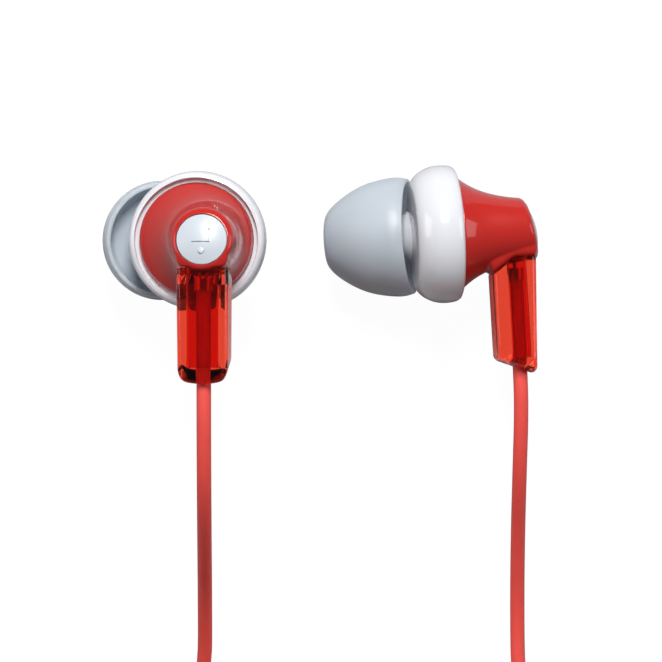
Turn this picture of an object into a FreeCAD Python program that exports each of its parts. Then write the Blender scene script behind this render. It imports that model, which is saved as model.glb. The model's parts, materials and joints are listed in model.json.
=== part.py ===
import FreeCAD, Part
import math
import os

from FreeCAD import Placement, Rotation, Vector

# Wired in-ear earphones, in millimetres, lying on a table at z = 0.  The left earphone stands on its ear
# tip with its cap up, the right one lies on its side, and both cords run towards -Y.
#
# Each earphone is built in its own frame: the origin is at the centre of the seam between the white
# ring and the red rear housing, +Z points to the cap, -Y along the stem, and the nozzle leans to -X.
# The right earphone is the mirror image of the left one.

# ---- fits ----
GLUE_GAP = 0.02
FIT_GAP = 0.05
EPS = 0.01
OVERCUT = 1.0

# ---- white ring and nozzle ----
RING_RADIUS = 7.1
RING_LIP_RADIUS = 6.37
RING_LIP_WIDTH = 0.16
RING_LIP_SINK = 0.1
RING_CHAMFER = 0.95
RING_CHAMFER_MIDDLE = (0.2, 0.42)
RING_BAND = 1.85
RING_DOME_MIDDLE = (0.27, 1.1)
RING_DEPTH = 4.75
RING_FRONT_RADIUS = 5.95
RING_FRONT_WALL = 0.9
GROOVE_DEPTH = 0.7
SPIGOT_LENGTH = 1.3
NOZZLE_LEAN = 15.5
NOZZLE_OFFSET = 3.83
NOZZLE_RADIUS = 2.25
NOZZLE_WALL = 0.55
NOZZLE_LENGTH = 6.2
NOZZLE_BEAD = 0.3
NOZZLE_BEAD_WIDTH = 0.8
NOZZLE_BEAD_FROM_END = 1.4
NOZZLE_SINK = 0.3
NOZZLE_ROOT_RADIUS = 3.0
NOZZLE_ROOT_START = -2.4
NOZZLE_ROOT_END = -0.4
NOZZLE_TAPER_END = 0.9
NOZZLE_BORE_START = -3.2
MESH_THICKNESS = 0.15
FOAM_LENGTH = 1.2

# ---- silicone ear tip ----
TIP_LENGTH = 8.8
TIP_RADIUS = 6.15
TIP_WIDEST = 1.7
TIP_FRONT_RADIUS = 2.6
TIP_HOLE_RADIUS = 1.7
TIP_SKIN = 0.45
TIP_RIM_INSET = 0.25
TIP_TUBE_WALL = 0.55
TIP_TUBE_START = 1.6
TIP_STOP_GAP = 0.1
TIP_FRONT_WALL = 1.5
TIP_RIM_START = 0.12
TIP_SIDE = (0.62, 3.1)
TIP_SHOULDER = (1.85, 1.6)
SKIRT_SIDE = (1.07, 3.1)
SKIRT_SHOULDER = (2.05, 0.6)
SKIRT_RIM_INSET = 0.65

# ---- driver ----
DRIVER_RADIUS = 4.95
DRIVER_WALL = 0.45
GASKET_WIDTH = 0.75
GASKET_THICKNESS = 0.2
COVER_THICKNESS = 0.2
COVER_HOLE_RADIUS = 0.5
COVER_HOLE_CIRCLE = 2.4
COVER_HOLES = 6
BASKET_DEPTH = 2.7
BASKET_FLOOR = 0.5
DIAPHRAGM_SKIN = 0.08
DIAPHRAGM_FROM_COVER = 0.7
DIAPHRAGM_DOME = 0.3
DIAPHRAGM_CLEARANCE = 0.1
COIL_RADIUS = 2.6
COIL_WALL = 0.15
COIL_LENGTH = 1.0
MAGNETIC_GAP = 0.2
PLATE_THICKNESS = 0.4
PLATE_FROM_DIAPHRAGM = 0.4
MAGNET_THICKNESS = 1.0
MAGNET_INSET = 0.1
YOKE_WALL = 0.25
YOKE_FLOOR = 0.5
DAMPER_INSET = 0.1
DAMPER_THICKNESS = 0.15
BOARD_SIZE = (3.6, 2.2)
BOARD_THICKNESS = 0.4

# ---- red rear housing and cap ----
MOUTH_RADIUS = 5.87
THROAT_RADIUS = 2.9
FLARE_LENGTH = 3.05
BARREL_OFFSET = 1.5
BARREL_OFFSET_REACH = 6.0
HOUSING_WALL = 0.8
LOFT_TOP = 9.0
LOFT_STEPS = 12
LOFT_RADIUS_LIMIT = 12.0
END_DOME_RADIUS = 6.9
END_DOME_DROP = 1.1
END_DOME_BASE = 1.17
CAP_RADIUS = 2.6
CAP_THICKNESS = 0.75
CAP_RECESS = 0.1
CAP_LEAN = 10.0
CAP_ROUND = 0.15
CAVITY_END = 5.8
CAVITY_STEPS = 8
END_CUT_START = 4.5
VENT_DEPTH = 4.0
VENT_RADIUS = 0.5
MARK_WIDTH = 0.17
MARK_DEPTH = 0.1
MARK_STEM = ((-0.9, -0.36), (0.8, -0.36))
MARK_FOOT = ((0.8, -0.36), (0.8, 0.95))
MARK_BOWL_RADIUS = 0.38
MARK_BOWL_PLACE = (-0.42, -0.3)
MARK_LEG_PLACE = (0.38, 0.1)
MARK_LEG_LENGTH = 1.0
MARK_LEG_TURN = 35.0
DOT_RADIUS = 0.33
DOT_HEIGHT = 0.12
DOT_PLACE = 1.2

# ---- clear stem ----
STEM_WIDTH = 5.4
STEM_FOOT_WIDTH = 5.2
STEM_FRONT = 2.93
STEM_BACK_TOP = 7.5
STEM_BACK_FOOT = 6.97
STEM_FOOT_FRONT = 13.3
STEM_FOOT_BACK = 14.75
STEM_CORNER = 0.75
STEM_HEEL = 0.9
STEM_HEEL_MIDDLE = 0.25
STEM_TOE = (1.2, 0.3)
STEM_TOE_MIDDLE = (0.35, 0.75)
SADDLE_FRONT = 4.5
SADDLE_STEP_Z = 5.2
SADDLE_BACK = 2.85
STEM_CAVITY = (3.4, 2.05)
STEM_CAVITY_FLOOR = 13.1
CRIMP_RADIUS = 0.95
CRIMP_LENGTH = 1.3
CRIMP_TOP = 3.9
PASSAGE_DROP = 0.5

# ---- cords ----
CORD = 1.5
CORD_LINE = 5.45
CORD_START = 13.6
WIRE_RADIUS = 0.16
WIRE_SPREAD = 0.45
WIRE_CLOSING = 0.8
WIRE_RISE = 2.2
WIRE_BENDS = ((-1.3, 4.2), (-2.9, CORD_LINE))

# ---- cord routes, from the stems to the coils, on to the splitter and from there to the plug ----
LEFT_LEAD = [(-11.82, -10.1, 19.52), (-11.82, -15.6, 19.4), (-11.82, -22.4, 17.2), (-11.84, -28.2, 12.1),
             (-11.87, -33.6, 6.4), (-11.92, -42.0, 1.4), (-14.5, -47.2, 0.95), (-14.72, -51.2, 0.95)]
RIGHT_LEAD = [(20.61, -9.04, 10.67), (20.78, -14.0, 10.6), (20.6, -20.6, 8.9), (20.5, -27.6, 4.6),
              (20.5, -35.0, 1.5), (20.6, -42.0, 0.95), (21.8, -47.2, 0.95), (21.92, -51.2, 0.95)]
LEFT_TAIL = [(-8.38, -66.5, 4.4), (-4.6, -70.3, 2.8), (-0.9, -74.6, 1.4), (2.35, -79.2, 1.6),
             (2.65, -84.4, 1.9)]
RIGHT_TAIL = [(15.58, -66.5, 4.4), (11.8, -70.3, 2.8), (8.1, -74.6, 1.4), (4.85, -79.2, 1.6),
              (4.55, -84.4, 1.9)]
MAIN_LEAD = [(3.6, -95.8, 1.9), (3.62, -99.6, 1.8), (3.6, -103.9, 0.95)]
MAIN_TAIL = [(-18.9, -103.9, 4.7), (-19.1, -99.8, 3.8), (-19.55, -96.0, 3.15), (-19.6, -92.0, 3.05)]
LEFT_COIL = (-6.1, -56.6)
RIGHT_COIL = (13.3, -56.6)
MAIN_COIL = (-7.65, -110.0)
BRANCH_COIL_RADIUS = 8.625
BRANCH_COIL_TURNS = 1.5
BRANCH_COIL_LAYERS = 4
MAIN_COIL_RADIUS = 11.25
MAIN_COIL_TURNS = 3
MAIN_COIL_LAYERS = 4

# ---- splitter and plug ----
SPLITTER_SIZE = (5.2, 3.8)
SPLITTER_NECK = 2.6
SPLITTER_FLARE = 0.6
SPLITTER_SHOULDER = 3.2
PLUG_RADIUS = 1.75
PLUG_CORE_RADIUS = 0.9
PLUG_TIP_LENGTH = 3.0
PLUG_TIP_NECK = 1.25
PLUG_TIP_NECK_PLACE = 0.9
PLUG_TIP_BULGE = (0.1, 0.6)
PLUG_TIP_END_RADIUS = 0.5
PLUG_SHANK_RADIUS = 1.4
PLUG_SHANK = 3.0
PLUG_CORE_TAIL = 1.8
PLUG_BAND = 0.7
PLUG_RING_LENGTH = 1.7
PLUG_LENGTH = 14.0
PLUG_COLLAR_RADIUS = 2.6
PLUG_COLLAR = 0.8
HANDLE_RADIUS = 3.0
HANDLE_LENGTH = 15.0
HANDLE_WAIST = 2.6
HANDLE_STEP = 0.2
HANDLE_WAIST_PLACE = 1.5
HANDLE_FULL_PLACE = 4.5
HANDLE_END_CHAMFER = (0.5, 1.2)
RELIEF_LENGTH = 7.0
RELIEF_RADII = (1.2, 2.0)

# ---- where the two earphones lie ----
HOUSING_LEAN = 6.2
RIGHT_TURN = 3.3
LEFT_SEAM = (-12.72, 3.5)
RIGHT_SEAM = (14.26, 4.22)


def flare_radius(z):
    """Outer radius of the red housing at a height above the seam."""
    return THROAT_RADIUS + (MOUTH_RADIUS - THROAT_RADIUS) * math.exp(-z / FLARE_LENGTH)


def flare_offset(z):
    """How far the red housing's centre line has moved to +X at a height above the seam."""
    reach = min(max(z, 0.0) / BARREL_OFFSET_REACH, 1.0)
    return BARREL_OFFSET * math.sin(reach * math.pi / 2)


def cylinder(radius, low, high, x=0.0, y=0.0):
    return Part.makeCylinder(radius, high - low, Vector(x, y, low))


def ring(inner, outer, low, high):
    return cylinder(outer, low, high).cut(cylinder(inner, low - EPS, high + EPS))


def revolved(edges):
    """Solid of revolution about Z from edges that close a profile in the XZ plane."""
    face = Part.Face(Part.Wire(edges))
    return face.revolve(Vector(0, 0, 0), Vector(0, 0, 1), 360)


def lines(points):
    return [Part.LineSegment(a, b).toShape() for a, b in zip(points, points[1:])]


def curve(points):
    spline = Part.BSplineCurve()
    spline.interpolate(points)
    return spline.toShape()


def arc(start, middle, end):
    return Part.Arc(start, middle, end).toShape()


def prism(edges, direction):
    return Part.Face(Part.Wire(edges)).extrude(direction)


def loft(low, high, steps, shrink):
    """Trumpet of the rear housing between two heights, made smaller all round by shrink."""
    circles = []
    for step in range(steps + 1):
        z = low + (high - low) * step / steps
        centre = Vector(flare_offset(z), 0, z)
        circles.append(Part.Wire(Part.makeCircle(flare_radius(z) - shrink, centre)))
    return Part.makeLoft(circles, True, False)


def nozzle_place(distance=0.0):
    """Placement with +Z along the nozzle, outwards, at a distance from the ear tip's rear rim plane."""
    lean = math.radians(NOZZLE_LEAN)
    outwards = Vector(-math.sin(lean), 0, -math.cos(lean))
    start = Vector(-NOZZLE_OFFSET, 0, -RING_DEPTH + NOZZLE_SINK)
    turn = Rotation(Vector(0, 1, 0), 180 + NOZZLE_LEAN)
    return Placement(start + outwards * distance, turn)


def placed(shape, placement):
    copy = shape.copy()
    copy.transformShape(placement.toMatrix(), True)
    return copy


def tube(points, radius, name):
    """Tube along straight runs joined by tangent arcs; prints its radii and checks its volume."""
    edges = []
    radii = []
    last = points[0]
    for before, corner, after in zip(points, points[1:], points[2:]):
        back = (before - corner)
        ahead = (after - corner)
        reach = 0.45 * min(back.Length, ahead.Length)
        half_turn = (math.pi - back.getAngle(ahead)) / 2
        back.normalize()
        ahead.normalize()
        inwards = back + ahead
        inwards.normalize()
        bend = reach / math.tan(half_turn)
        start = corner + back * reach
        end = corner + ahead * reach
        middle = corner + inwards * (bend / math.cos(half_turn) - bend)
        edges.append(Part.LineSegment(last, start).toShape())
        edges.append(arc(start, middle, end))
        radii.append(bend)
        last = end
    edges.append(Part.LineSegment(last, points[-1]).toShape())
    path = Part.Wire(edges)
    profile = Part.Wire(Part.makeCircle(radius, points[0], points[1] - points[0]))
    solid = path.makePipeShell([profile], True, False)
    share = solid.Volume / (math.pi * radius * radius * path.Length)
    print(name, "length %.1f" % path.Length, "volume share %.4f" % share,
          "radii", ", ".join("%.1f" % bend for bend in radii))
    return solid


# ---- pieces of one earphone ----

def front_housing():
    """White ring with a domed front, the driver's seat and the leaning nozzle."""
    lip_top = -RING_LIP_SINK
    band_top = lip_top - RING_CHAMFER
    band_low = band_top - RING_BAND
    dome_mid = Vector(RING_RADIUS - RING_DOME_MIDDLE[0], 0, band_low - RING_DOME_MIDDLE[1])
    dome_end = Vector(RING_FRONT_RADIUS, 0, -RING_DEPTH)
    lip_out = Vector(RING_LIP_RADIUS + RING_LIP_WIDTH, 0, lip_top)
    chamfer_mid = Vector(RING_RADIUS - RING_CHAMFER_MIDDLE[0], 0, band_top + RING_CHAMFER_MIDDLE[1])
    band = Vector(RING_RADIUS, 0, band_top)
    inner = DRIVER_RADIUS + FIT_GAP
    spigot = MOUTH_RADIUS + FIT_GAP
    step = -SPIGOT_LENGTH - FIT_GAP
    floor = -RING_DEPTH + RING_FRONT_WALL
    profile = [arc(lip_out, chamfer_mid, band)]
    profile += lines([band, Vector(RING_RADIUS, 0, band_low)])
    profile += [arc(Vector(RING_RADIUS, 0, band_low), dome_mid, dome_end)]
    profile += lines([dome_end, Vector(0, 0, -RING_DEPTH), Vector(0, 0, floor),
                      Vector(inner, 0, floor), Vector(inner, 0, step), Vector(spigot, 0, step),
                      Vector(spigot, 0, -GROOVE_DEPTH), Vector(RING_LIP_RADIUS, 0, -GROOVE_DEPTH),
                      Vector(RING_LIP_RADIUS, 0, lip_top), lip_out])
    body = revolved(profile)
    bead_low = NOZZLE_LENGTH - NOZZLE_BEAD_FROM_END
    bead_high = bead_low + NOZZLE_BEAD_WIDTH
    bead_mid = Vector(NOZZLE_RADIUS + NOZZLE_BEAD, 0, (bead_low + bead_high) / 2)
    root = NOZZLE_ROOT_START
    outline = lines([Vector(0, 0, root), Vector(NOZZLE_ROOT_RADIUS, 0, root),
                     Vector(NOZZLE_ROOT_RADIUS, 0, NOZZLE_ROOT_END),
                     Vector(NOZZLE_RADIUS, 0, NOZZLE_TAPER_END), Vector(NOZZLE_RADIUS, 0, bead_low)])
    outline += [arc(Vector(NOZZLE_RADIUS, 0, bead_low), bead_mid, Vector(NOZZLE_RADIUS, 0, bead_high))]
    outline += lines([Vector(NOZZLE_RADIUS, 0, bead_high), Vector(NOZZLE_RADIUS, 0, NOZZLE_LENGTH),
                      Vector(0, 0, NOZZLE_LENGTH), Vector(0, 0, root)])
    nozzle = placed(revolved(outline), nozzle_place())
    chamber = cylinder(inner, floor, step)
    bore = placed(cylinder(NOZZLE_RADIUS - NOZZLE_WALL, NOZZLE_BORE_START, NOZZLE_LENGTH + EPS),
                  nozzle_place())
    seat = placed(cylinder(NOZZLE_RADIUS - NOZZLE_WALL / 2, NOZZLE_LENGTH - MESH_THICKNESS,
                           NOZZLE_LENGTH + EPS), nozzle_place())
    return body.fuse(nozzle).cut(chamber).cut(bore).cut(seat).removeSplitter()


def nozzle_mesh():
    low = NOZZLE_LENGTH - MESH_THICKNESS + GLUE_GAP
    return placed(cylinder(NOZZLE_RADIUS - NOZZLE_WALL / 2 - GLUE_GAP, low, NOZZLE_LENGTH), nozzle_place())


def nozzle_foam():
    high = NOZZLE_LENGTH - MESH_THICKNESS
    return placed(cylinder(NOZZLE_RADIUS - NOZZLE_WALL - GLUE_GAP, high - FOAM_LENGTH, high), nozzle_place())


def ear_tip():
    """Soft tip: a bore over the nozzle and a thin skirt folded back over it."""
    bore = NOZZLE_RADIUS + NOZZLE_BEAD + FIT_GAP
    tube_outer = bore + TIP_TUBE_WALL
    stop = NOZZLE_LENGTH + TIP_STOP_GAP
    inner_front = TIP_LENGTH - TIP_FRONT_WALL
    outer = [Vector(TIP_RADIUS - TIP_RIM_INSET, 0, TIP_RIM_START), Vector(TIP_RADIUS, 0, TIP_WIDEST),
             Vector(TIP_RADIUS - TIP_SIDE[0], 0, TIP_WIDEST + TIP_SIDE[1]),
             Vector(TIP_RADIUS - TIP_SHOULDER[0], 0, TIP_LENGTH - TIP_SHOULDER[1]),
             Vector(TIP_FRONT_RADIUS, 0, TIP_LENGTH)]
    skirt = [Vector(tube_outer, 0, inner_front),
             Vector(TIP_RADIUS - SKIRT_SHOULDER[0], 0, inner_front - SKIRT_SHOULDER[1]),
             Vector(TIP_RADIUS - SKIRT_SIDE[0], 0, TIP_WIDEST + SKIRT_SIDE[1]),
             Vector(TIP_RADIUS - TIP_SKIN, 0, TIP_WIDEST),
             Vector(TIP_RADIUS - SKIRT_RIM_INSET, 0, TIP_RIM_START)]
    rim = Vector(TIP_RADIUS - TIP_RIM_INSET - TIP_SKIN / 2, 0, 0)
    profile = [curve(outer)]
    profile += lines([outer[-1], Vector(TIP_HOLE_RADIUS, 0, TIP_LENGTH), Vector(TIP_HOLE_RADIUS, 0, stop),
                      Vector(bore, 0, stop), Vector(bore, 0, TIP_TUBE_START),
                      Vector(tube_outer, 0, TIP_TUBE_START), Vector(tube_outer, 0, inner_front)])
    profile += [curve(skirt), arc(skirt[-1], rim, outer[0])]
    return placed(revolved(profile), nozzle_place())


def driver_levels():
    """Heights of the driver's pieces, from the front of its seat backwards."""
    front = -RING_DEPTH + RING_FRONT_WALL
    cover = front + GASKET_THICKNESS
    basket = cover + COVER_THICKNESS
    diaphragm = basket + DIAPHRAGM_FROM_COVER
    plate = diaphragm + PLATE_FROM_DIAPHRAGM
    magnet = plate + PLATE_THICKNESS
    yoke_floor = magnet + MAGNET_THICKNESS
    return {"front": front, "cover": cover, "basket": basket, "diaphragm": diaphragm, "plate": plate,
            "magnet": magnet, "yoke_floor": yoke_floor, "yoke_back": yoke_floor + YOKE_FLOOR,
            "basket_back": basket + BASKET_DEPTH}


def driver_gasket():
    level = driver_levels()
    return ring(DRIVER_RADIUS - GASKET_WIDTH, DRIVER_RADIUS, level["front"], level["cover"])


def driver_cover():
    level = driver_levels()
    cover = cylinder(DRIVER_RADIUS, level["cover"], level["basket"])
    for hole in range(COVER_HOLES):
        angle = 2 * math.pi * hole / COVER_HOLES
        cover = cover.cut(cylinder(COVER_HOLE_RADIUS, level["cover"] - EPS, level["basket"] + EPS,
                                   COVER_HOLE_CIRCLE * math.cos(angle), COVER_HOLE_CIRCLE * math.sin(angle)))
    return cover.cut(cylinder(COVER_HOLE_RADIUS, level["cover"] - EPS, level["basket"] + EPS))


def yoke_radius():
    return COIL_RADIUS + COIL_WALL + MAGNETIC_GAP + YOKE_WALL


def driver_basket():
    level = driver_levels()
    basket = ring(DRIVER_RADIUS - DRIVER_WALL, DRIVER_RADIUS, level["basket"], level["basket_back"])
    floor = ring(yoke_radius() + GLUE_GAP, DRIVER_RADIUS - DRIVER_WALL + EPS,
                 level["basket_back"] - BASKET_FLOOR, level["basket_back"])
    return basket.fuse(floor).removeSplitter()


def diaphragm():
    """Thin stiffened dome with a folded surround, clear of the basket's wall."""
    edge = DRIVER_RADIUS - DRIVER_WALL - DIAPHRAGM_CLEARANCE
    neck = COIL_RADIUS + COIL_WALL
    roll = (neck + edge) / 2
    flat = (edge - neck) / 6
    face = [(0, -DIAPHRAGM_DOME), (neck * 0.55, -DIAPHRAGM_DOME), (neck, 0), (roll - flat, -DIAPHRAGM_DOME),
            (roll + flat, -DIAPHRAGM_DOME), (edge, 0)]
    z = driver_levels()["diaphragm"]
    front = [Vector(radius, 0, z + lift) for radius, lift in face]
    back = [point + Vector(0, 0, DIAPHRAGM_SKIN) for point in reversed(front)]
    return revolved(lines(front + back + front[:1]))


def voice_coil():
    low = driver_levels()["diaphragm"] + DIAPHRAGM_SKIN
    return ring(COIL_RADIUS, COIL_RADIUS + COIL_WALL, low, low + COIL_LENGTH)


def top_plate():
    level = driver_levels()
    return cylinder(COIL_RADIUS - MAGNETIC_GAP, level["plate"], level["magnet"])


def magnet():
    level = driver_levels()
    return cylinder(COIL_RADIUS - MAGNETIC_GAP - MAGNET_INSET, level["magnet"], level["yoke_floor"])


def driver_yoke():
    level = driver_levels()
    outer = yoke_radius()
    cup = cylinder(outer, level["plate"], level["yoke_back"])
    return cup.cut(cylinder(outer - YOKE_WALL, level["plate"] - EPS, level["yoke_floor"]))


def vent_damper():
    level = driver_levels()
    return ring(yoke_radius() + DAMPER_INSET, DRIVER_RADIUS - DRIVER_WALL, level["basket_back"],
                level["basket_back"] + DAMPER_THICKNESS)


def terminal_board():
    level = driver_levels()
    width, height = BOARD_SIZE
    corner = Vector(-width / 2, -height / 2, level["yoke_back"])
    return Part.makeBox(width, height, BOARD_THICKNESS, corner)


def end_sphere(gap):
    centre = Vector(BARREL_OFFSET, -END_DOME_DROP, END_DOME_BASE)
    return Part.makeSphere(END_DOME_RADIUS - gap, centre)


def cap_place():
    """Placement at the cap's centre on the end dome, with +Z out of the cap."""
    lean = math.radians(CAP_LEAN)
    outwards = Vector(0, math.sin(lean), math.cos(lean))
    centre = Vector(BARREL_OFFSET, -END_DOME_DROP, END_DOME_BASE) + outwards * END_DOME_RADIUS
    return Placement(centre, Rotation(Vector(1, 0, 0), -CAP_LEAN))


def saddle(width, drop, low_z):
    """Block under the barrel that the stem is glued to, seen from the side as a bent lower edge."""
    back = STEM_BACK_TOP + OVERCUT
    points = [Vector(0, 0, low_z), Vector(0, -SADDLE_FRONT - drop, low_z),
              Vector(0, -SADDLE_FRONT - drop, STEM_FRONT + EPS),
              Vector(0, -SADDLE_BACK - drop, SADDLE_STEP_Z), Vector(0, -SADDLE_BACK - drop, back),
              Vector(0, 0, back), Vector(0, 0, low_z)]
    block = prism(lines(points), Vector(width, 0, 0))
    block.translate(Vector(BARREL_OFFSET - width / 2, 0, 0))
    return block


def stem_cavity(top):
    width, depth = STEM_CAVITY
    return Part.makeBox(width, STEM_CAVITY_FLOOR - top, depth,
                        Vector(BARREL_OFFSET - width / 2, -STEM_CAVITY_FLOOR, CORD_LINE - depth / 2))


def rear_housing():
    """Glossy red trumpet with a spigot into the ring and a recess for the cap."""
    outer = loft(0, LOFT_TOP, LOFT_STEPS, 0)
    block = saddle(STEM_WIDTH, 0, STEM_FRONT)
    away = cylinder(LOFT_RADIUS_LIMIT, END_CUT_START, LOFT_TOP + OVERCUT).cut(end_sphere(0))
    body = outer.fuse(block).cut(away)
    spigot = ring(DRIVER_RADIUS + FIT_GAP, MOUTH_RADIUS, -SPIGOT_LENGTH, EPS)
    inside = loft(0, CAVITY_END, CAVITY_STEPS, HOUSING_WALL)
    width, depth = STEM_CAVITY
    passage = Part.makeBox(width, SADDLE_FRONT, depth,
                           Vector(BARREL_OFFSET - width / 2, -SADDLE_FRONT - PASSAGE_DROP,
                                  CORD_LINE - depth / 2))
    recess = placed(cylinder(CAP_RADIUS + FIT_GAP, -CAP_THICKNESS - CAP_RECESS, OVERCUT), cap_place())
    vent = placed(cylinder(VENT_RADIUS, -VENT_DEPTH, 0), cap_place())
    return body.fuse(spigot).cut(inside).cut(passage).cut(recess).cut(vent).removeSplitter()


def cap_marks(side):
    """Grooves of the side letter, in the cap's own frame, centred on the cap."""
    low, high = -END_DOME_RADIUS, OVERCUT
    half = MARK_WIDTH / 2

    def stroke(start, end):
        return Part.makeBox(end[0] - start[0] + MARK_WIDTH, end[1] - start[1] + MARK_WIDTH, high - low,
                            Vector(start[0] - half, start[1] - half, low))

    if side == "left":
        return stroke(*MARK_STEM).fuse(stroke(*MARK_FOOT))
    bowl = ring(MARK_BOWL_RADIUS - half, MARK_BOWL_RADIUS + half, low, high)
    bowl = bowl.common(Part.makeBox(2, 1, high - low, Vector(-1, 0, low)))
    bowl.translate(Vector(*MARK_BOWL_PLACE, 0))
    leg = Part.makeBox(MARK_LEG_LENGTH, MARK_WIDTH, high - low, Vector(-MARK_LEG_LENGTH / 2, -half, low))
    leg = placed(leg, Placement(Vector(*MARK_LEG_PLACE, 0), Rotation(Vector(0, 0, 1), MARK_LEG_TURN)))
    return stroke(*MARK_STEM).fuse(bowl).fuse(leg)


def cap(side):
    """Pale cap, flush in the barrel, with a sunk side letter and, on the left, a raised dot."""
    dome = END_DOME_RADIUS - CAP_RECESS
    back = -CAP_THICKNESS - CAP_RECESS + GLUE_GAP

    def height(radius, sphere):
        return math.sqrt(sphere * sphere - radius * radius) - END_DOME_RADIUS

    inset = CAP_RADIUS - CAP_ROUND
    shoulder = Vector(inset, 0, height(inset, dome))
    side_top = Vector(CAP_RADIUS, 0, shoulder.z - CAP_ROUND * 1.1)
    knee = Vector(CAP_RADIUS - CAP_ROUND * 0.29, 0, shoulder.z - CAP_ROUND * 0.36)
    middle = Vector(inset / 2, 0, height(inset / 2, dome))
    profile = lines([Vector(0, 0, -CAP_RECESS), Vector(0, 0, back), Vector(CAP_RADIUS, 0, back), side_top])
    profile += [arc(side_top, knee, shoulder), arc(shoulder, middle, Vector(0, 0, -CAP_RECESS))]
    body = revolved(profile)
    floor = Part.makeSphere(dome - MARK_DEPTH, Vector(0, 0, -END_DOME_RADIUS))
    body = body.cut(cap_marks(side).cut(floor))
    if side == "left":
        top = height(DOT_PLACE, dome)
        dot = Part.makeSphere(DOT_RADIUS, Vector(0, -DOT_PLACE, top - DOT_RADIUS + DOT_HEIGHT))
        body = body.fuse(dot)
    return placed(body, cap_place())


def stem():
    """Clear hollow stem: the shape common to its side, back and plan outlines."""
    foot = Vector(0, -STEM_FOOT_BACK, STEM_BACK_FOOT - STEM_HEEL)
    heel = Vector(0, -STEM_FOOT_BACK + STEM_HEEL, STEM_BACK_FOOT)
    knee = Vector(0, -STEM_FOOT_BACK + STEM_HEEL_MIDDLE, STEM_BACK_FOOT - STEM_HEEL_MIDDLE)
    front = [Vector(0, 0, STEM_FRONT), Vector(0, -STEM_FOOT_FRONT, STEM_FRONT)]
    edges = lines(front + [foot]) + [arc(foot, knee, heel)]
    edges += lines([heel, Vector(0, -SADDLE_BACK, STEM_BACK_TOP), Vector(0, 0, STEM_BACK_TOP), front[0]])
    from_side = prism(edges, Vector(2 * STEM_WIDTH, 0, 0))
    from_side.translate(Vector(BARREL_OFFSET - STEM_WIDTH, 0, 0))

    half_top, half_foot = STEM_WIDTH / 2, STEM_FOOT_WIDTH / 2
    low, shoulder = -STEM_FOOT_BACK - EPS, -STEM_FOOT_FRONT
    left_foot, right_foot = Vector(-half_foot, shoulder, 0), Vector(half_foot, shoulder, 0)
    edges = lines([left_foot, Vector(-half_top, 0, 0), Vector(half_top, 0, 0), right_foot])
    toe_x, toe_y = half_foot - STEM_TOE[0], low + STEM_TOE[1]
    bend_x, bend_y = half_foot - STEM_TOE_MIDDLE[0], shoulder - STEM_TOE_MIDDLE[1]
    edges += [arc(right_foot, Vector(bend_x, bend_y, 0), Vector(toe_x, toe_y, 0)),
              arc(Vector(toe_x, toe_y, 0), Vector(0, low, 0), Vector(-toe_x, toe_y, 0)),
              arc(Vector(-toe_x, toe_y, 0), Vector(-bend_x, bend_y, 0), left_foot)]
    from_back = prism(edges, Vector(0, 0, STEM_BACK_TOP + OVERCUT))
    from_back.translate(Vector(BARREL_OFFSET, 0, 0))

    reach = STEM_FOOT_BACK + OVERCUT
    plan = Part.makeBox(STEM_WIDTH, reach, STEM_BACK_TOP - STEM_FRONT,
                        Vector(BARREL_OFFSET - half_top, -reach, STEM_FRONT))
    upright = [edge for edge in plan.Edges if abs(edge.BoundBox.YLength - reach) < EPS]
    plan = plan.makeFillet(STEM_CORNER, upright)

    body = from_side.common(from_back).common(plan)
    body = body.cut(saddle(STEM_WIDTH + OVERCUT, GLUE_GAP, STEM_FRONT - OVERCUT))
    body = body.cut(loft(0, LOFT_TOP, LOFT_STEPS, -GLUE_GAP))
    body = body.cut(stem_cavity(0))
    hole = along_stem(CORD / 2 + GLUE_GAP, STEM_CAVITY_FLOOR - OVERCUT, STEM_FOOT_BACK + OVERCUT)
    return body.cut(hole)


def along_stem(radius, start, end):
    """Cylinder down the stem on the cord's line, from one distance below the axis to another."""
    return Part.makeCylinder(radius, end - start, Vector(BARREL_OFFSET, -start, CORD_LINE), Vector(0, -1, 0))


def cord_crimp():
    return along_stem(CRIMP_RADIUS, CRIMP_TOP, CRIMP_TOP + CRIMP_LENGTH)


def cord_end():
    return along_stem(CORD / 2, CRIMP_TOP + CRIMP_LENGTH, CORD_START)


def lead_wires(side):
    """Two thin wires from the driver's board to the crimp at the cord's end."""
    back = driver_levels()["yoke_back"] + BOARD_THICKNESS
    wires = []
    for shift in (-WIRE_SPREAD, WIRE_SPREAD):
        low_x = BARREL_OFFSET + shift * WIRE_CLOSING
        points = [Vector(shift, 0, back), Vector(shift, 0, back + WIRE_RISE)]
        points += [Vector(low_x, y, z) for y, z in WIRE_BENDS]
        points.append(Vector(low_x, -CRIMP_TOP, CORD_LINE))
        wires.append(tube(points, WIRE_RADIUS, side + "_lead_wires"))
    return Part.makeCompound(wires)


def earphone(side):
    """All pieces of one earphone in its own frame, by node name without the side."""
    pieces = {
        "ear_tip": ear_tip(), "front_housing": front_housing(), "nozzle_mesh": nozzle_mesh(),
        "nozzle_foam": nozzle_foam(), "driver_gasket": driver_gasket(), "driver_cover": driver_cover(),
        "driver_basket": driver_basket(), "diaphragm": diaphragm(), "voice_coil": voice_coil(),
        "top_plate": top_plate(), "magnet": magnet(), "driver_yoke": driver_yoke(),
        "vent_damper": vent_damper(), "terminal_board": terminal_board(), "rear_housing": rear_housing(),
        "cap": cap(side), "stem": stem(), "cord_crimp": cord_crimp(), "cord_end": cord_end(),
        "lead_wires": lead_wires(side)}
    return pieces


def mirrored(shape):
    return shape.mirror(Vector(0, 0, 0), Vector(1, 0, 0))


def left_place():
    return Placement(Vector(LEFT_SEAM[0], LEFT_SEAM[1], 0), Rotation(Vector(0, 1, 0), -HOUSING_LEAN))


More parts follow.
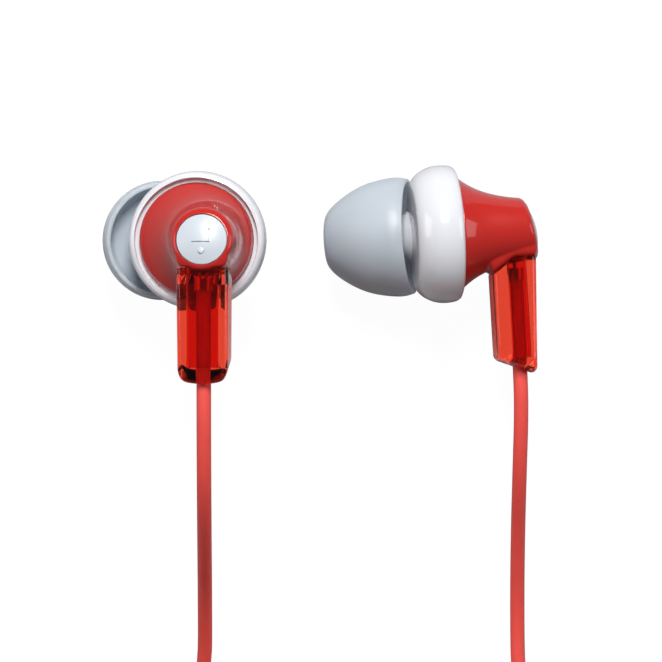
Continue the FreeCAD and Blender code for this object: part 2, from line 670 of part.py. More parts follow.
def right_place():
    lean = Rotation(Vector(0, 1, 0), 90 + HOUSING_LEAN)
    turn = Rotation(Vector(0, 0, 1), RIGHT_TURN)
    return Placement(Vector(RIGHT_SEAM[0], RIGHT_SEAM[1], 0), turn * lean)


def stand(pieces, placement):
    """Place an earphone and set it down so that its lowest point touches the table."""
    shapes = {name: placed(shape, placement) for name, shape in pieces.items()}
    lowest = min(shapes[name].optimalBoundingBox(False, False).ZMin
                 for name in ("ear_tip", "front_housing", "stem"))
    for shape in shapes.values():
        shape.translate(Vector(0, 0, -lowest))
    return shapes, -lowest


def coil_solid(centre, radius, turns, layers):
    """Outer shape of a neat coil: flat layers of turns, a cord's width apart."""
    shape = ring(radius - (turns + 0.5) * CORD, radius + CORD / 2, 0, layers * CORD)
    shape.translate(Vector(centre[0], centre[1], 0))
    return shape


def splitter():
    """Moulded body that joins the two branches to the main cord, wide at the branches' end."""
    start = Vector(*LEFT_TAIL[-1])
    end = Vector(*MAIN_LEAD[0])
    middle = (LEFT_TAIL[-1][0] + RIGHT_TAIL[-1][0]) / 2
    width, height = SPLITTER_SIZE
    flared = SPLITTER_NECK + SPLITTER_FLARE
    sections = []
    for y, wide, tall in ((start.y, width, height), (start.y - SPLITTER_SHOULDER, width, height),
                          (end.y + SPLITTER_SHOULDER, flared, flared),
                          (end.y, SPLITTER_NECK, SPLITTER_NECK)):
        shape = Part.Ellipse(Vector(0, 0, 0), wide / 2, tall / 2 - EPS / 10)
        oval = Part.Wire(shape.toShape())
        oval.rotate(Vector(0, 0, 0), Vector(1, 0, 0), 90)
        oval.translate(Vector(middle, y, start.z))
        sections.append(oval)
    return Part.makeLoft(sections, True, False)


def plug_cylinder(radius, start, end):
    """Cylinder on the plug's axis, between two distances along it from the cord's end."""
    foot = Vector(*MAIN_TAIL[-1]) + Vector(0, start, 0)
    return Part.makeCylinder(radius, end - start, foot, Vector(0, 1, 0))


def plug_turned(points):
    """Solid turned about the plug's axis from (radius, distance) points."""
    body = revolved(lines([Vector(r, 0, d) for r, d in points + points[:1]]))
    return placed(body, Placement(Vector(*MAIN_TAIL[-1]), Rotation(Vector(1, 0, 0), -90)))


def plug():
    """Pieces of the 3.5 mm plug, in a row from the cord to the tip."""
    grip = RELIEF_LENGTH
    collar = grip + HANDLE_LENGTH
    end = collar + PLUG_LENGTH
    tip = end - PLUG_TIP_LENGTH
    ring_end = tip - PLUG_BAND
    ring_start = ring_end - PLUG_RING_LENGTH
    sleeve_end = ring_start - PLUG_BAND
    shank_start = collar - PLUG_SHANK
    core = PLUG_CORE_RADIUS
    low, high = RELIEF_RADII
    thick, waist = HANDLE_RADIUS, HANDLE_WAIST
    relief = plug_turned([(0, 0), (low, 0), (high, grip), (0, grip)])
    handle = plug_turned([(0, grip), (high + HANDLE_STEP, grip), (waist, grip + HANDLE_WAIST_PLACE),
                          (thick, grip + HANDLE_FULL_PLACE), (thick, collar - HANDLE_END_CHAMFER[1]),
                          (thick - HANDLE_END_CHAMFER[0], collar), (0, collar)])
    handle = handle.cut(plug_cylinder(PLUG_SHANK_RADIUS + GLUE_GAP, shank_start, collar + EPS))
    handle = handle.cut(plug_cylinder(core + GLUE_GAP, shank_start - PLUG_CORE_TAIL - GLUE_GAP, shank_start))
    flange = collar + GLUE_GAP
    sleeve = plug_cylinder(PLUG_SHANK_RADIUS, shank_start, flange)
    sleeve = sleeve.fuse(plug_cylinder(PLUG_COLLAR_RADIUS, flange, flange + PLUG_COLLAR))
    sleeve = sleeve.fuse(plug_cylinder(PLUG_RADIUS, flange + PLUG_COLLAR, sleeve_end))
    sleeve = sleeve.cut(plug_cylinder(core + GLUE_GAP, shank_start - EPS, sleeve_end + EPS))
    neck = tip + PLUG_TIP_NECK_PLACE
    contact = plug_turned([(0, tip), (PLUG_RADIUS, tip), (PLUG_TIP_NECK, neck),
                           (PLUG_RADIUS - PLUG_TIP_BULGE[0], neck + PLUG_TIP_BULGE[1]),
                           (PLUG_TIP_END_RADIUS, end), (0, end)])
    contact_ring = plug_cylinder(PLUG_RADIUS, ring_start, ring_end)
    bands = [plug_cylinder(PLUG_RADIUS, *ends) for ends in ((sleeve_end, ring_start), (ring_end, tip))]
    bore = plug_cylinder(core + GLUE_GAP, sleeve_end - EPS, tip + EPS)
    return {
        "plug_strain_relief": relief, "plug_handle": handle, "plug_sleeve": sleeve.removeSplitter(),
        "plug_ring": contact_ring.cut(bore), "plug_insulators": Part.makeCompound([b.cut(bore) for b in bands]),
        "plug_tip": contact, "plug_core": plug_cylinder(core, shank_start - PLUG_CORE_TAIL, tip)}


def cords():
    routes = {"left_cord": LEFT_LEAD, "left_cord_tail": LEFT_TAIL, "right_cord": RIGHT_LEAD,
              "right_cord_tail": RIGHT_TAIL, "main_cord": MAIN_LEAD, "main_cord_tail": MAIN_TAIL}
    pieces = {name: tube([Vector(*point) for point in route], CORD / 2, name)
              for name, route in routes.items()}
    branch = (BRANCH_COIL_RADIUS, BRANCH_COIL_TURNS, BRANCH_COIL_LAYERS)
    pieces["left_cord_coil"] = coil_solid(LEFT_COIL, *branch)
    pieces["right_cord_coil"] = coil_solid(RIGHT_COIL, *branch)
    pieces["main_cord_coil"] = coil_solid(MAIN_COIL, MAIN_COIL_RADIUS, MAIN_COIL_TURNS, MAIN_COIL_LAYERS)
    return pieces


def main():
    os.makedirs("parts", exist_ok=True)
    nodes = {}
    left, left_height = stand(earphone("left"), left_place())
    right_pieces = {name: mirrored(shape) for name, shape in earphone("right").items()}
    right, right_height = stand(right_pieces, right_place())
    print("seam heights %.3f %.3f" % (left_height, right_height))
    nodes.update({"left_" + name: shape for name, shape in left.items()})
    nodes.update({"right_" + name: shape for name, shape in right.items()})
    box = FreeCAD.BoundBox()
    for shape in nodes.values():
        box.add(shape.optimalBoundingBox(False, False))
    print("box of the two earphones", box)
    nodes.update(cords())
    nodes["splitter"] = splitter()
    nodes.update(plug())
    for name, shape in nodes.items():
        if not shape.isValid():
            print("invalid", name)
        print(name, "%.3f" % shape.Volume, len(shape.Solids))
        shape.exportStep("parts/" + name + ".step")


main()
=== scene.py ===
"""Wired in-ear earphones lying on a pale table, seen from straight above.

The housings, ear tips, stems, cords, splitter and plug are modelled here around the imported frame; the
driver's inner pieces stay the frame's own and only get materials.  Lengths are millimetres until a piece
is placed, and metres after that.
"""

import json
import math

import bmesh
import bpy
from mathutils import Matrix, Vector


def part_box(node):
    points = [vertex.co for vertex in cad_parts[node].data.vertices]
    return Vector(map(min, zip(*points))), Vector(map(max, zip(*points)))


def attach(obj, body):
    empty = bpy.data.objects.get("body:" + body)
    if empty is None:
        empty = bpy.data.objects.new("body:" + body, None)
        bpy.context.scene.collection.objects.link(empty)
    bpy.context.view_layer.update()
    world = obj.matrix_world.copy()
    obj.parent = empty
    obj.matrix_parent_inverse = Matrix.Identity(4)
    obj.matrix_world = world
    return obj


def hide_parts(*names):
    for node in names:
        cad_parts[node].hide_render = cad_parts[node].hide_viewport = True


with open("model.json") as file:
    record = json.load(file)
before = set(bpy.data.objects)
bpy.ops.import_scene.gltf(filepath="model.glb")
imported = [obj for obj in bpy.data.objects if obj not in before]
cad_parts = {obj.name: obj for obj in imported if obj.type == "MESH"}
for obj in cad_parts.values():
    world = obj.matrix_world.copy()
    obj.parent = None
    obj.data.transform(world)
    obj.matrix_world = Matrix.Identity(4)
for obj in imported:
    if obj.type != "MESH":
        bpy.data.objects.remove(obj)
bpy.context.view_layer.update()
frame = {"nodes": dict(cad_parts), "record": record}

MM = 0.001

# ---- camera: straight above, the view's up is +Y ----
FIELD = 68.2
CAMERA_HEIGHT = 1.0
VIEW_PLANE = 10.0
VIEW_CENTRE = (1.16, -5.85)
SENSOR = 36.0

# ---- how the two earphones stand ----
HOUSING_LEAN = math.radians(6.2)
RIGHT_TURN = math.radians(3.3)
NOZZLE_LEAN = math.radians(15.5)
MAGNET_MIDDLE = -1.45

# ---- earphone, in its own frame: origin at the seam, +Z to the cap, -Y along the stem ----
RING_LIP_RADIUS = 6.37
RING_DEPTH = 4.75
RING_OUTLINE = [(6.42, -0.05), (6.75, -0.22), (6.97, -0.6), (7.08, -1.2), (7.1, -1.8), (7.04, -2.4),
                (6.88, -3.0), (6.62, -3.55), (6.28, -4.05), (5.85, -4.45), (5.35, -4.68),
                (4.8, -RING_DEPTH)]
GROOVE_DEPTH = 0.7
SPIGOT_RADIUS = 5.92
SEAT_RADIUS = 5.0
SEAT_STEP = -1.35
SEAT_FLOOR = -3.85
NOZZLE_OFFSET = 3.83
NOZZLE_START = -4.45
NOZZLE_RADIUS = 2.25
NOZZLE_BORE = 1.7
NOZZLE_ROOT = -1.2
NOZZLE_FOOT_RADIUS = 3.0
NOZZLE_LENGTH = 6.2
NOZZLE_BEAD = 0.3
MESH_LEDGE = 0.25
MESH_THICKNESS = 0.16
TIP_LENGTH = 8.8
TIP_RADIUS = 6.15
TIP_WIDEST = 1.7
TIP_FRONT_RADIUS = 2.6
TIP_HOLE_RADIUS = 1.7
TIP_BORE = 2.6
TIP_BORE_START = 1.6
TIP_BORE_END = 6.3
TIP_TUBE_WALL = 0.55
MOUTH_RADIUS = 5.87
MOUTH_EDGE = 0.1
THROAT_RADIUS = 2.9
FLARE_LENGTH = 3.05
BARREL_OFFSET = 1.5
BARREL_OFFSET_REACH = 6.0
HOUSING_START = -1.3
HOUSING_HEIGHTS = [0.0, 0.03, 0.1, 0.2, 0.35, 0.5, 0.7, 0.9, 1.1, 1.4, 1.7, 2.0, 2.2, 2.35, 2.5, 2.6,
                   2.7, 2.8, 3.0, 3.3, 3.6, 4.0, 4.4, 4.8]
HOUSING_EDGE = 0.32
HOUSING_LOOP = 192
END_DOME_RADIUS = 6.9
END_DOME_DROP = 1.1
END_DOME_BASE = 1.17
CAP_LEAN = math.radians(10.0)
CAP_RADIUS = 2.6
CAP_RECESS = 0.1
CAP_THICKNESS = 0.75
MARK_WIDTH = 0.18
MARK_DEPTH = 0.16
MARK_CUTTER_HEIGHT = 1.2
STEM_WIDTH = 5.4
STEM_FOOT_WIDTH = 5.2
STEM_FRONT = 2.93
STEM_BACK_TOP = 7.5
STEM_BACK_FOOT = 6.97
STEM_FOOT_FRONT = 13.3
STEM_FOOT_BACK = 14.75
STEM_FOOT_ROUND = 0.35
STEM_GAP = 0.03
STEM_LOOP = 96
STEM_SQUARENESS = 9
SADDLE_SQUARENESS = 7
SADDLE_FRONT = 4.5
SADDLE_STEP_Z = 5.2
SADDLE_BACK = 2.85
STEM_CAVITY = (3.4, 2.05)
STEM_CAVITY_SQUARENESS = 12
STEM_CAVITY_FLOOR = 13.1
CORD_LINE = 5.45
CORD_TOP = 5.2

# ---- cords ----
CORD = 1.5
LEFT_LEAD = [(-11.82, -10.1, 19.52), (-11.82, -15.6, 19.4), (-11.82, -22.4, 17.2), (-11.84, -28.2, 12.1),
             (-11.87, -33.6, 6.4), (-11.92, -42.0, 1.4), (-14.5, -47.2, 0.95), (-14.72, -51.2, 0.95)]
RIGHT_LEAD = [(20.61, -9.04, 10.67), (20.78, -14.0, 10.6), (20.6, -20.6, 8.9), (20.5, -27.6, 4.6),
              (20.5, -35.0, 1.5), (20.6, -42.0, 0.95), (21.8, -47.2, 0.95), (21.92, -51.2, 0.95)]
LEFT_TAIL = [(-8.38, -66.5, 4.4), (-4.6, -70.3, 2.8), (-0.9, -74.6, 1.4), (2.35, -79.2, 1.6),
             (2.65, -84.4, 1.9)]
RIGHT_TAIL = [(15.58, -66.5, 4.4), (11.8, -70.3, 2.8), (8.1, -74.6, 1.4), (4.85, -79.2, 1.6),
              (4.55, -84.4, 1.9)]
MAIN_LEAD = [(3.6, -95.8, 1.9), (3.62, -99.6, 1.8), (3.6, -103.9, 0.95)]
MAIN_TAIL = [(-18.9, -103.9, 4.7), (-19.1, -99.8, 3.8), (-19.55, -96.0, 3.15), (-19.6, -92.0, 3.05)]
LEFT_COIL = (-6.1, -56.6)
RIGHT_COIL = (13.3, -56.6)
MAIN_COIL = (-7.65, -110.0)
BRANCH_COIL = {"radius": 8.625, "turns": 1.5, "layers": 4}
MAIN_COIL_FORM = {"radius": 11.25, "turns": 3, "layers": 4}
TURN_POINTS = 16

# ---- surfaces and light ----
CLOUD_SCALE = 180
MARK_SCALE = 900
BUMP_DISTANCE = 0.00002
FLOOR_GLOW = 1.14
FLOOR_WHITE_SHARE = 0.85
WORLD_STRENGTH = 0.08
LAMPS = [("key", (0.0, 0.36, 0.52), (0.18, 0.3), 4.2),
         ("left_fill", (-0.5, 0.1, 0.3), (0.3, 0.3), 0.6),
         ("right_fill", (0.5, 0.1, 0.3), (0.3, 0.3), 0.6)]
LAMP_TARGET = (0, 0, 0.01)

scene = bpy.context.scene


# ---------------------------------------------------------------- mesh helpers

def finished(name, bm, sharp_angle=40.0):
    """Object from a bmesh, with smooth faces and the edges over an angle kept sharp."""
    bmesh.ops.remove_doubles(bm, verts=bm.verts, dist=1e-7)
    bmesh.ops.recalc_face_normals(bm, faces=bm.faces)
    limit = math.radians(sharp_angle)
    for face in bm.faces:
        face.smooth = True
    for edge in bm.edges:
        edge.smooth = len(edge.link_faces) != 2 or edge.calc_face_angle() < limit
    mesh = bpy.data.meshes.new(name)
    bm.to_mesh(mesh)
    bm.free()
    obj = bpy.data.objects.new(name, mesh)
    scene.collection.objects.link(obj)
    return obj


def rounded(corners, steps=6):
    """Outline through (x, y, radius) corners, each rounded to its radius; the ends stay sharp."""
    points = []
    for index, (x, y, radius) in enumerate(corners):
        here = Vector((x, y))
        if radius == 0 or index in (0, len(corners) - 1):
            points.append(here)
            continue
        back = Vector(corners[index - 1][:2]) - here
        ahead = Vector(corners[index + 1][:2]) - here
        half = back.angle(ahead) / 2
        reach = min(radius / math.tan(half), back.length * 0.49, ahead.length * 0.49)
        start = here + back.normalized() * reach
        end = here + ahead.normalized() * reach
        for step in range(steps + 1):
            t = step / steps
            points.append(start * (1 - t) ** 2 + here * 2 * t * (1 - t) + end * t * t)
    return points


def smooth_line(points, steps=6):
    """Catmull-Rom line through 2D points."""
    ends = [points[0] * 2 - points[1]] + points + [points[-1] * 2 - points[-2]]
    line = []
    for a, b, c, d in zip(ends, ends[1:], ends[2:], ends[3:]):
        for step in range(steps):
            t = step / steps
            line.append(0.5 * (2 * b + (c - a) * t + (2 * a - 5 * b + 4 * c - d) * t * t
                               + (3 * b - a - 3 * c + d) * t ** 3))
    return line + [points[-1]]


def spun(profile, segments=128):
    """bmesh turned about Z from (radius, height) points; ends on the axis close into poles."""
    bm = bmesh.new()
    verts = [bm.verts.new((point[0], 0, point[1])) for point in profile]
    edges = [bm.edges.new(pair) for pair in zip(verts, verts[1:])]
    bmesh.ops.spin(bm, geom=verts + edges, cent=(0, 0, 0), axis=(0, 0, 1), angle=2 * math.pi,
                   steps=segments, use_merge=True, use_duplicate=False)
    bmesh.ops.remove_doubles(bm, verts=bm.verts, dist=1e-5)
    return bm


def turned(name, corners, steps=6, segments=128):
    """Solid turned about Z from (radius, height, rounding) corners."""
    return finished(name, spun([tuple(point) for point in rounded(corners, steps)], segments))


def loop_edges(bm, loop):
    members = set(loop)
    return [edge for edge in bm.edges if edge.verts[0] in members and edge.verts[1] in members]


def lofted(places, around):
    """Open tube through loops, each place giving its loop's point at an angle, and the last loop."""
    bm = bmesh.new()
    loop = list(bmesh.ops.create_circle(bm, cap_ends=False, segments=around, radius=1.0)["verts"])
    angles = [math.atan2(vert.co.y, vert.co.x) for vert in loop]
    for index, place in enumerate(places):
        if index:
            grown = bmesh.ops.extrude_edge_only(bm, edges=loop_edges(bm, loop))
            old = set(loop)
            fresh = [item for item in grown["geom"] if isinstance(item, bmesh.types.BMVert)]
            partner = {edge.other_vert(vert): vert for vert in fresh for edge in vert.link_edges
                       if edge.other_vert(vert) in old}
            loop = [partner[vert] for vert in loop]
        for vert, angle in zip(loop, angles):
            vert.co = place(angle)
    return bm, loop


def join(name, *objects):
    """One object from several; their materials are not carried over."""
    bm = bmesh.new()
    for obj in objects:
        bm.from_mesh(obj.data)
    mesh = bpy.data.meshes.new(name)
    bm.to_mesh(mesh)
    bm.free()
    for obj in objects:
        old = obj.data
        bpy.data.objects.remove(obj)
        bpy.data.meshes.remove(old)
    joined = bpy.data.objects.new(name, mesh)
    scene.collection.objects.link(joined)
    return joined


def cut_by(obj, cutter):
    """Takes the cutter's shape out of obj and removes the cutter."""
    boolean = obj.modifiers.new("cut", "BOOLEAN")
    boolean.operation = "DIFFERENCE"
    boolean.solver = "EXACT"
    boolean.object = cutter
    bpy.context.view_layer.update()
    mesh = bpy.data.meshes.new_from_object(obj.evaluated_get(bpy.context.evaluated_depsgraph_get()))
    obj.modifiers.clear()
    obj.data = mesh
    bpy.data.objects.remove(cutter)
    return obj


# ---------------------------------------------------------------- placing

def side_matrix(side):
    """Turn and place of an earphone: its own frame in millimetres to the row frame in metres."""
    if side == "left":
        turn = Matrix.Rotation(-HOUSING_LEAN, 4, "Y")
    else:
        mirror = Matrix.Scale(-1, 4, (1, 0, 0))
        lie = Matrix.Rotation(math.pi / 2 + HOUSING_LEAN, 4, "Y")
        turn = Matrix.Rotation(RIGHT_TURN, 4, "Z") @ lie @ mirror
    low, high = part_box(side + "_magnet")
    seam = (low + high) / 2 - turn @ Vector((0, 0, MAGNET_MIDDLE)) * MM
    return Matrix.Translation(seam) @ turn @ Matrix.Scale(MM, 4)


def nozzle_matrix():
    """Frame on the nozzle: +Z outwards along it, the origin in the ear tip's rim plane."""
    start = Vector((-NOZZLE_OFFSET, 0, NOZZLE_START))
    return Matrix.Translation(start) @ Matrix.Rotation(math.pi + NOZZLE_LEAN, 4, "Y")


def cap_matrix():
    """Frame on the cap: +Z out of it, the origin on the end dome."""
    lean = Matrix.Rotation(-CAP_LEAN, 4, "X")
    centre = Vector((BARREL_OFFSET, -END_DOME_DROP, END_DOME_BASE))
    return Matrix.Translation(centre + lean @ Vector((0, 0, END_DOME_RADIUS))) @ lean


def settle(obj, side, body, *nodes, local=None):
    """Bake an earphone piece into the row frame and hand it to its body."""
    matrix = side_matrix(side)
    if local is not None:
        matrix = matrix @ local
    obj.data.transform(matrix)
    if side == "right":
        obj.data.flip_normals()
    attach(obj, body)
    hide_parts(*(side + "_" + node for node in nodes))
    return obj


# ---------------------------------------------------------------- materials

def new_material(name, base, roughness, **sockets):
    """Principled material; a socket's name is given in small letters with underscores."""
    material = bpy.data.materials.new(name)
    material.use_nodes = True
    shader = material.node_tree.nodes["Principled BSDF"]
    shader.inputs["Base Color"].default_value = (*base, 1)
    shader.inputs["Roughness"].default_value = roughness
    for socket, value in sockets.items():
        shader.inputs[socket.replace("_", " ").title().replace("Ior", "IOR")].default_value = value
    return material


def surface_group():
    """Node group: slow colour drift, fine roughness marks and a fine bump height."""
    group = bpy.data.node_groups.new("moulded_surface", "ShaderNodeTree")
    face = group.interface
    for socket, kind in (("Colour", "NodeSocketColor"), ("Drift", "NodeSocketFloat"),
                         ("Roughness", "NodeSocketFloat"), ("Marks", "NodeSocketFloat"),
                         ("Grain Scale", "NodeSocketFloat"), ("Grain Height", "NodeSocketFloat")):
        face.new_socket(socket, in_out="INPUT", socket_type=kind)
    for socket, kind in (("Colour", "NodeSocketColor"), ("Roughness", "NodeSocketFloat"),
                         ("Normal", "NodeSocketVector")):
        face.new_socket(socket, in_out="OUTPUT", socket_type=kind)
    nodes, links = group.nodes, group.links
    start, end = nodes.new("NodeGroupInput"), nodes.new("NodeGroupOutput")
    place = nodes.new("ShaderNodeTexCoord")
    cloud = nodes.new("ShaderNodeTexNoise")
    cloud.inputs["Scale"].default_value = CLOUD_SCALE
    cloud.inputs["Detail"].default_value = 3
    marks = nodes.new("ShaderNodeTexNoise")
    marks.inputs["Scale"].default_value = MARK_SCALE
    marks.inputs["Detail"].default_value = 5
    grain = nodes.new("ShaderNodeTexNoise")
    grain.inputs["Detail"].default_value = 4
    for texture in (cloud, marks, grain):
        links.new(place.outputs["Object"], texture.inputs["Vector"])
    links.new(start.outputs["Grain Scale"], grain.inputs["Scale"])

    def math_node(operation, first, second):
        node = nodes.new("ShaderNodeMath")
        node.operation = operation
        for socket, value in zip(node.inputs, (first, second)):
            if isinstance(value, (int, float)):
                socket.default_value = value
            else:
                links.new(value, socket)
        return node.outputs[0]

    swing = math_node("SUBTRACT", cloud.outputs["Fac"], 0.5)
    drift = math_node("MULTIPLY", swing, start.outputs["Drift"])
    tone = nodes.new("ShaderNodeHueSaturation")
    links.new(math_node("ADD", drift, 1.0), tone.inputs["Value"])
    links.new(start.outputs["Colour"], tone.inputs["Color"])
    links.new(tone.outputs["Color"], end.inputs["Colour"])
    patch = math_node("SUBTRACT", marks.outputs["Fac"], 0.5)
    scuff = math_node("MULTIPLY", patch, start.outputs["Marks"])
    links.new(math_node("ADD", scuff, start.outputs["Roughness"]), end.inputs["Roughness"])
    bump = nodes.new("ShaderNodeBump")
    bump.inputs["Distance"].default_value = BUMP_DISTANCE
    links.new(start.outputs["Grain Height"], bump.inputs["Strength"])
    links.new(grain.outputs["Fac"], bump.inputs["Height"])
    links.new(bump.outputs["Normal"], end.inputs["Normal"])
    return group


SURFACE = surface_group()


def moulded(name, base, roughness, drift=0.05, marks=0.05, grain=2500.0, height=0.1, **sockets):
    """Material of a moulded piece: the shared surface group feeds its colour, roughness and normal."""
    material = new_material(name, base, roughness, **sockets)
    nodes, links = material.node_tree.nodes, material.node_tree.links
    shader = nodes["Principled BSDF"]
    group = nodes.new("ShaderNodeGroup")
    group.node_tree = SURFACE
    group.inputs["Colour"].default_value = (*base, 1)
    for socket, value in (("Drift", drift), ("Roughness", roughness), ("Marks", marks),
                          ("Grain Scale", grain), ("Grain Height", height)):
        group.inputs[socket].default_value = value
    links.new(group.outputs["Colour"], shader.inputs["Base Color"])
    links.new(group.outputs["Roughness"], shader.inputs["Roughness"])
    links.new(group.outputs["Normal"], shader.inputs["Normal"])
    shader.inputs["Subsurface Radius"].default_value = (1, 1, 1)
    return material


def metal(name, base, roughness, **more):
    return moulded(name, base, roughness, drift=0.06, marks=0.08, height=0.05, metallic=1.0, **more)


MATERIALS = {
    "silicone": moulded("silicone", (0.52, 0.575, 0.63), 0.42, drift=0.03, marks=0.06, grain=3500,
                        height=0.12, subsurface_weight=0.7, subsurface_scale=0.002, coat_weight=0.1,
                        coat_roughness=0.3),
    "white_plastic": moulded("white_plastic", (0.78, 0.79, 0.83), 0.16, drift=0.015, marks=0.03,
                             height=0.03, coat_weight=0.5, coat_roughness=0.05),
    "red_plastic": moulded("red_plastic", (0.52, 0.022, 0.017), 0.3, drift=0.03, marks=0.03,
                           height=0.03, specular_ior_level=0.2, coat_weight=0.8, coat_roughness=0.04),
    "cap_plastic": moulded("cap_plastic", (0.60, 0.65, 0.71), 0.34, drift=0.015, marks=0.04,
                           height=0.06, coat_weight=0.12, coat_roughness=0.2),
    "clear_red": moulded("clear_red", (0.80, 0.062, 0.030), 0.03, drift=0.02, marks=0.02, height=0.02,
                         transmission_weight=1.0, ior=1.49),
    "cord_red": moulded("cord_red", (0.88, 0.085, 0.068), 0.5, drift=0.04, marks=0.08, grain=5000,
                        height=0.2, subsurface_weight=0.08, subsurface_scale=0.0005),
    "moulded_red": moulded("moulded_red", (0.70, 0.06, 0.05), 0.42, drift=0.04, marks=0.08, grain=4000,
                           height=0.2),
    "steel_mesh": metal("steel_mesh", (0.42, 0.42, 0.43), 0.35),
    "foam": moulded("foam", (0.03, 0.03, 0.03), 0.9, drift=0.3, marks=0.1, grain=1500, height=0.8),
    "steel": metal("steel", (0.55, 0.55, 0.56), 0.3),
    "black_plastic": moulded("black_plastic", (0.02, 0.02, 0.02), 0.5, height=0.3),
    "film": moulded("film", (0.6, 0.5, 0.3), 0.3, height=0.1),
    "copper": metal("copper", (0.6, 0.25, 0.12), 0.35),
    "magnet": metal("magnet", (0.6, 0.6, 0.6), 0.2),
    "paper": moulded("paper", (0.7, 0.67, 0.6), 0.85, drift=0.15, grain=2500, height=0.6),
    "board": moulded("board", (0.02, 0.12, 0.04), 0.35, drift=0.1, height=0.2),
    "brass_crimp": metal("brass_crimp", (0.6, 0.42, 0.2), 0.3),
    "nickel": metal("nickel", (0.72, 0.71, 0.68), 0.14),
    "insulator": moulded("insulator", (0.015, 0.015, 0.015), 0.4, height=0.2),
}


def painted(obj, slot):
    """Give a piece its slot's material, in place of what it has."""
    obj.data.materials.clear()
    obj.data.materials.append(MATERIALS[slot])
    return obj


# ---------------------------------------------------------------- camera and cords

def add_camera():
    data = bpy.data.cameras.new("camera")
    data.sensor_width = SENSOR
    data.lens = SENSOR * (CAMERA_HEIGHT - VIEW_PLANE * MM) / (FIELD * MM)
    data.clip_start = 0.05
    data.clip_end = 20
    camera = bpy.data.objects.new("camera", data)
    camera.location = (VIEW_CENTRE[0] * MM, VIEW_CENTRE[1] * MM, CAMERA_HEIGHT)
    scene.collection.objects.link(camera)
    scene.camera = camera


def coil_turns(centre, start, sweep, radius, turns, layers):
    """Points of a neat coil: a flat spiral inwards, the next one outwards a cord's width up, and so on."""
    direction = math.copysign(1, sweep)
    total = abs(sweep) / (2 * math.pi)
    count = round(total * TURN_POINTS)
    points = []
    for step in range(count + 1):
        turn = total * step / count
        layer = min(int(turn / turns), layers - 1)
        along = turn - layer * turns
        inwards = along if layer % 2 == 0 else max(turns - along, 0)
        climb = min(max((turn - (layer + 1) * turns) * 4 + 1, 0), 1) if layer < layers - 1 else 0
        angle = start + direction * 2 * math.pi * turn
        reach = radius - CORD * inwards
        points.append((centre[0] + reach * math.cos(angle), centre[1] + reach * math.sin(angle),
                       CORD * (layer + 0.5 + climb)))
    return points


def add_cord(name, route):
    """Curve with the route's points as control points of a smooth spline, in metres.

    Its thickness is the points' own radius, so that the curve's box is the cord's box.
    """
    data = bpy.data.curves.new(name, "CURVE")
    data.dimensions = "3D"
    data.bevel_depth = 1
    data.bevel_resolution = 6
    data.resolution_u = 6
    data.use_fill_caps = True
    spline = data.splines.new("NURBS")
    spline.points.add(len(route) - 1)
    for point, place in zip(spline.points, route):
        point.co = (place[0] * MM, place[1] * MM, place[2] * MM, 1)
        point.radius = CORD / 2 * MM
    spline.order_u = 3
    spline.use_endpoint_u = True
    obj = bpy.data.objects.new(name, data)
    scene.collection.objects.link(obj)
    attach(obj, "root")
    painted(obj, "cord_red")
    return obj


def stem_point(side, depth):
    """Point on the cord's line inside a stem, in the row frame, in millimetres."""
    return tuple(side_matrix(side) @ Vector((BARREL_OFFSET, -depth, CORD_LINE)) / MM)


def add_cords():
    """The two branches and the main lead, each in place of its solids."""
    quarter = math.pi / 4
    left_turns = coil_turns(LEFT_COIL, math.pi, 6 * 2 * math.pi + quarter, **BRANCH_COIL)
    right_turns = coil_turns(RIGHT_COIL, 0, -6 * 2 * math.pi - quarter, **BRANCH_COIL)
    main_turns = coil_turns(MAIN_COIL, 0, -12.5 * 2 * math.pi, **MAIN_COIL_FORM)
    left = add_cord("left_branch", [stem_point("left", CORD_TOP)] + LEFT_LEAD + left_turns + LEFT_TAIL)
    right = add_cord("right_branch", [stem_point("right", CORD_TOP)] + RIGHT_LEAD + right_turns + RIGHT_TAIL)
    main = add_cord("main_lead", MAIN_LEAD + main_turns + MAIN_TAIL)
    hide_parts("left_cord", "left_cord_coil", "left_cord_tail", "left_cord_end")
    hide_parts("right_cord", "right_cord_coil", "right_cord_tail", "right_cord_end")
    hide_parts("main_cord", "main_cord_coil", "main_cord_tail")
    return left, right, main


def declare_cords(left, right):
    for cord, lead, length in ((left, LEFT_LEAD, 0.373), (right, RIGHT_LEAD, 0.37)):
        [value * MM for value in lead[0]]


# ---------------------------------------------------------------- pieces of one earphone

